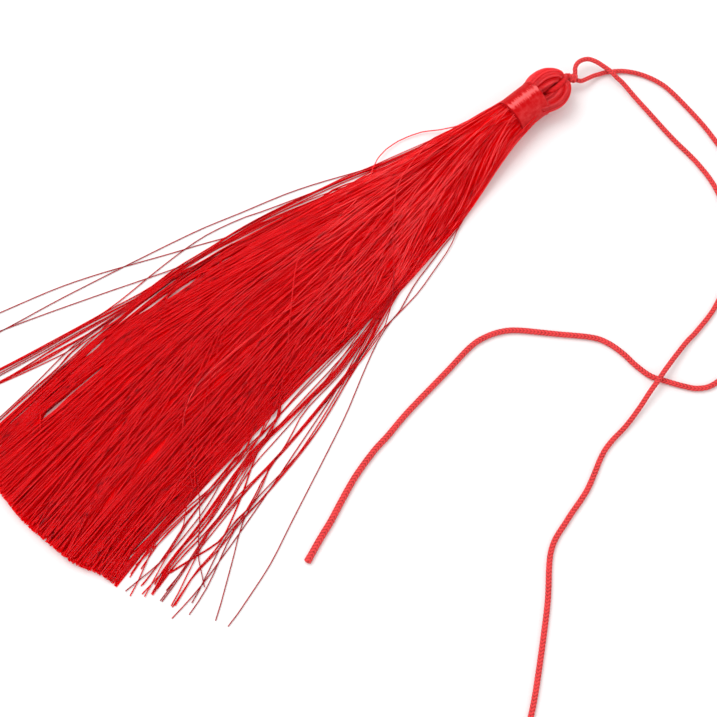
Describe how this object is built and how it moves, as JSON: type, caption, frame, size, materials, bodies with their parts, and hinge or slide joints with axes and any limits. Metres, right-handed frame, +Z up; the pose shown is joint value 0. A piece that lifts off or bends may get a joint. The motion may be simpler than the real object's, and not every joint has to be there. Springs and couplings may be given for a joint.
{
  "type": "silk tassel",
  "caption": "Red silk tassel lying flat: a thread skirt fanned out below a wound binding and a folded crown, with a knotted braided hanging cord and its two loose tails.",
  "frame": {"origin": "on the surface that the tassel lies on, below the middle of the tassel's box without the two cord tails", "axes": "+X along the tassel from the cut ends towards the crown, +Z up from the surface"},
  "size_m": [0.1665, 0.1502, 0.0084],
  "materials": {
    "silk_thread": "fine two-ply silk thread, soft sheen, bright red",
    "binding_thread": "close turns of the same thread, satin sheen",
    "braided_cord": "fine round braid, low sheen"
  },
  "bodies": {
    "root": {"tassel_hank": "silk_thread", "binding": "binding_thread", "cord_bight": "braided_cord", "knot": "braided_cord", "cord_tail_short": "braided_cord", "cord_tail_long": "braided_cord"}
  },
  "joints": []
}
